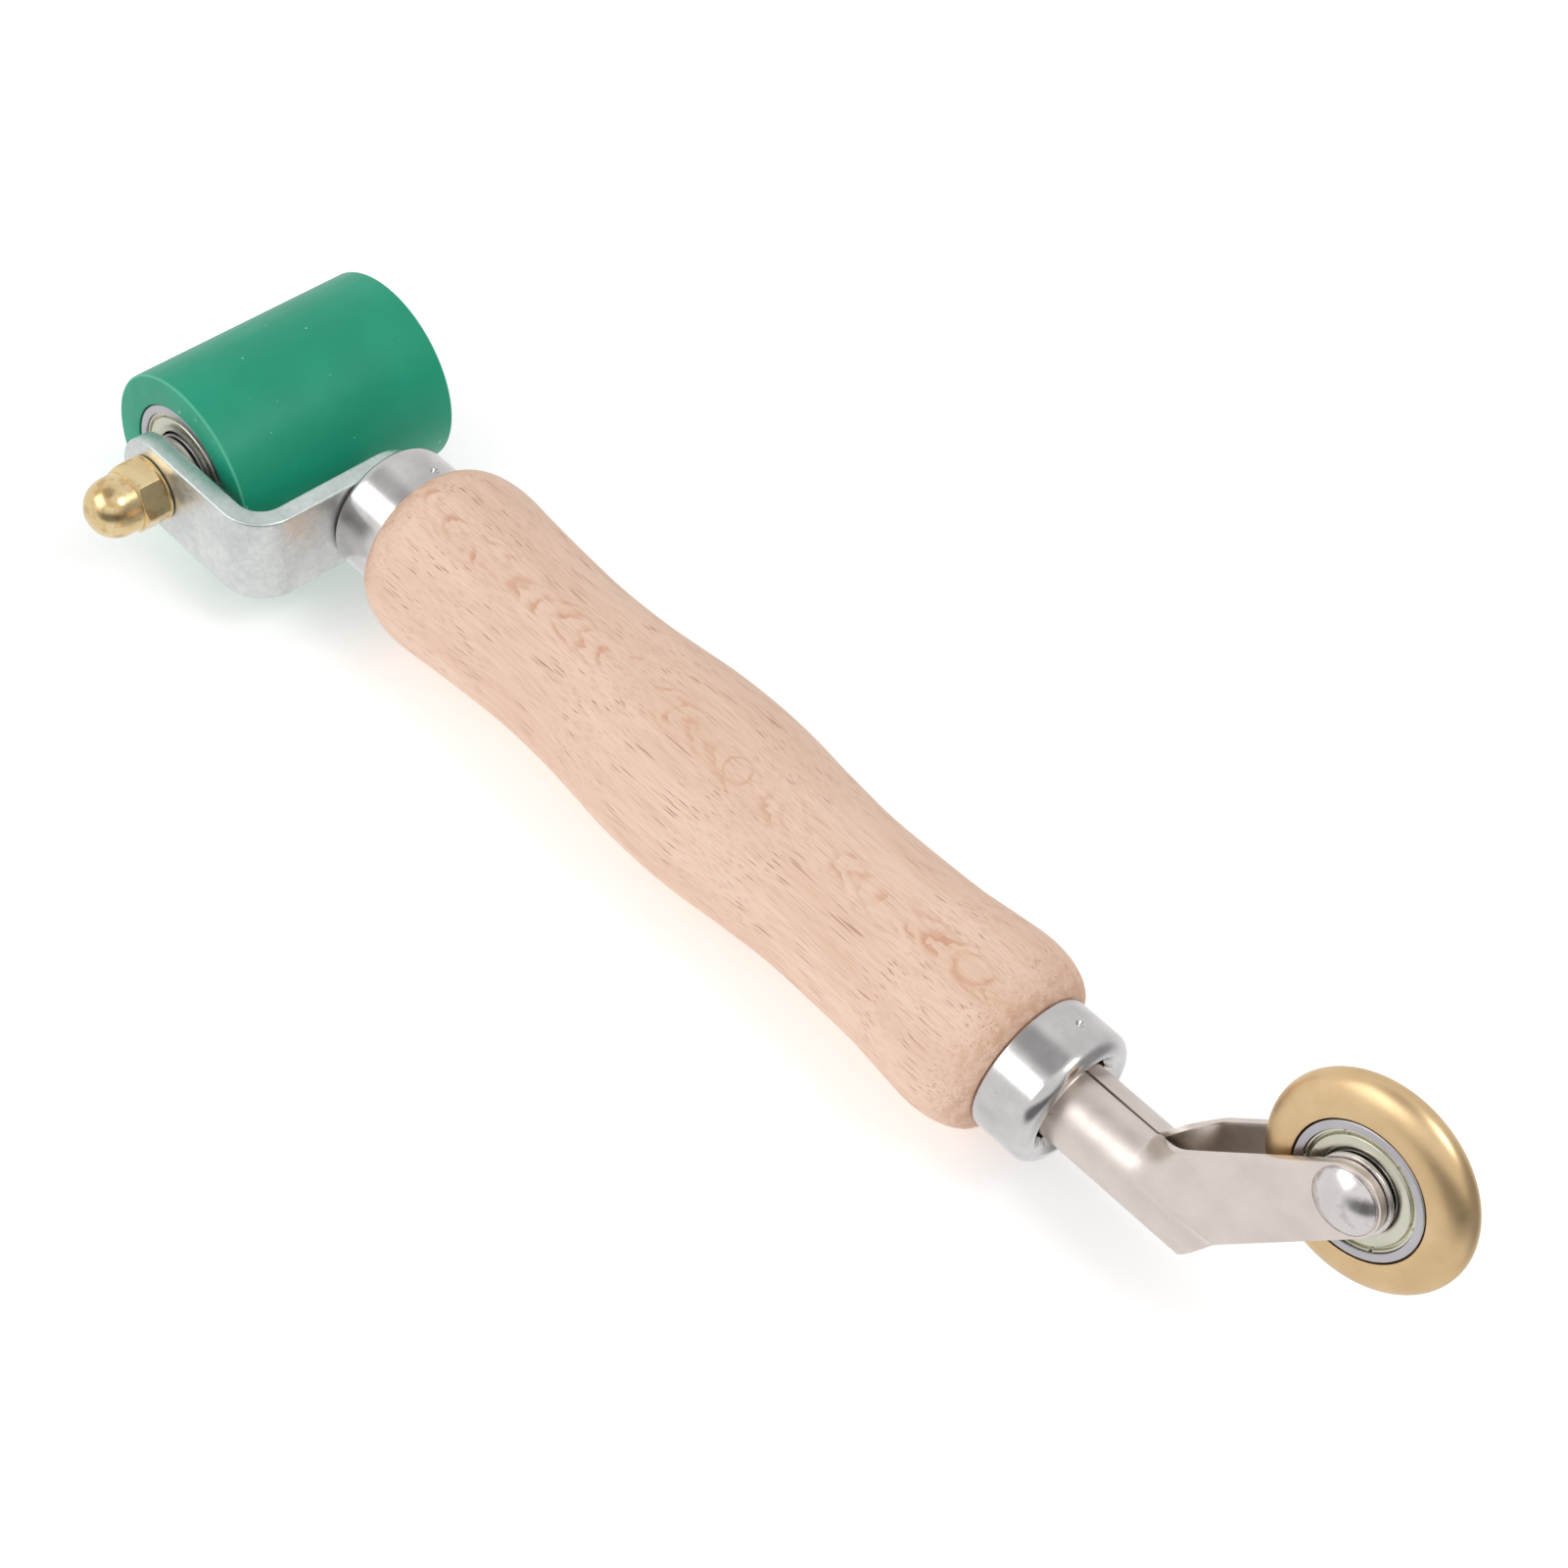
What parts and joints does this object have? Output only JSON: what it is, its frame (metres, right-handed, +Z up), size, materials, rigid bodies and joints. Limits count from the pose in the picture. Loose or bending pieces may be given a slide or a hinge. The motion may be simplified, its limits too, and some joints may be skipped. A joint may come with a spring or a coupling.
{
  "type": "seam roller",
  "caption": "Double-ended hand roller for roofing seams: wide silicone roller on an L-bracket, turned wooden handle, narrow brass wheel in an angled fork.",
  "frame": {"origin": "on the turned handle's axis, at the middle of the hand grip", "axes": "+X along the handle's axis from the silicone roller to the brass wheel, +Y along the silicone roller's axle away from the bracket's arm, +Z up, to the side the fork bends to"},
  "size_m": [0.238, 0.0611, 0.0544],
  "materials": {
    "silicone": "satin moulded silicone",
    "beech": "sanded, unvarnished",
    "zinc_plate": "clear zinc plated steel strap",
    "bright_cup": "bright drawn steel",
    "satin_nickel": "satin nickel plated sheet steel",
    "wheel_brass": "satin turned brass",
    "nut_brass": "polished brass",
    "bearing_steel": "ground bearing steel",
    "shield_zinc": "yellow-green zinc plated sheet",
    "polished_steel": "polished steel",
    "core_alloy": "turned aluminium"
  },
  "bodies": {
    "tool": {"l_bracket": "zinc_plate", "tang": "bearing_steel", "ferrule_front": "bright_cup", "handle": "beech", "ferrule_rear": "bright_cup", "fork": "satin_nickel", "roller_axle": "polished_steel", "cap_nut": "nut_brass", "arm_spacer": "bearing_steel", "head_washer": "bearing_steel", "spacer_tube": "bearing_steel", "left_bearing_inner_ring": "bearing_steel", "right_bearing_inner_ring": "bearing_steel", "wheel_rivet": "polished_steel", "washer_left": "polished_steel", "washer_right": "polished_steel", "wheel_bearing_inner_ring": "bearing_steel"},
    "roller": {"silicone_sleeve": "silicone", "roller_core": "core_alloy", "left_bearing_outer_ring": "bearing_steel", "left_bearing_shield_left": "shield_zinc", "left_bearing_shield_right": "shield_zinc", "right_bearing_outer_ring": "bearing_steel", "right_bearing_shield_left": "shield_zinc", "right_bearing_shield_right": "shield_zinc"},
    "left_cage": {"left_bearing_cage": "core_alloy", "left_bearing_ball_1": "polished_steel", "left_bearing_ball_2": "polished_steel", "left_bearing_ball_3": "polished_steel", "left_bearing_ball_4": "polished_steel", "left_bearing_ball_5": "polished_steel", "left_bearing_ball_6": "polished_steel", "left_bearing_ball_7": "polished_steel"},
    "right_cage": {"right_bearing_cage": "core_alloy", "right_bearing_ball_1": "polished_steel", "right_bearing_ball_2": "polished_steel", "right_bearing_ball_3": "polished_steel", "right_bearing_ball_4": "polished_steel", "right_bearing_ball_5": "polished_steel", "right_bearing_ball_6": "polished_steel", "right_bearing_ball_7": "polished_steel"},
    "wheel": {"brass_wheel": "wheel_brass", "wheel_bearing_outer_ring": "bearing_steel", "wheel_bearing_shield_left": "shield_zinc", "wheel_bearing_shield_right": "shield_zinc"},
    "wheel_cage": {"wheel_bearing_cage": "core_alloy", "wheel_bearing_ball_1": "polished_steel", "wheel_bearing_ball_2": "polished_steel", "wheel_bearing_ball_3": "polished_steel", "wheel_bearing_ball_4": "polished_steel", "wheel_bearing_ball_5": "polished_steel", "wheel_bearing_ball_6": "polished_steel", "wheel_bearing_ball_7": "polished_steel"}
  },
  "joints": [
    {"name": "roller_spin", "type": "hinge", "parent": "tool", "child": "roller", "pos_m": [-0.0924, 0, 0], "axis": [0, 1, 0], "continuous": true},
    {"name": "left_cage_spin", "type": "hinge", "parent": "tool", "child": "left_cage", "pos_m": [-0.0924, 0, 0], "axis": [0, 1, 0], "continuous": true},
    {"name": "right_cage_spin", "type": "hinge", "parent": "tool", "child": "right_cage", "pos_m": [-0.0924, 0, 0], "axis": [0, 1, 0], "continuous": true},
    {"name": "wheel_spin", "type": "hinge", "parent": "tool", "child": "wheel", "pos_m": [0.11456, 0.00411, 0.02366], "axis": [0, 0.9852, -0.1712], "continuous": true},
    {"name": "wheel_cage_spin", "type": "hinge", "parent": "tool", "child": "wheel_cage", "pos_m": [0.11456, 0.00411, 0.02366], "axis": [0, 0.9852, -0.1712], "continuous": true}
  ],
  "couplings": [
    {"joint": "left_cage_spin", "follows": "roller_spin", "ratio": 0.6323},
    {"joint": "right_cage_spin", "follows": "roller_spin", "ratio": 0.6323},
    {"joint": "wheel_cage_spin", "follows": "wheel_spin", "ratio": 0.64}
  ]
}
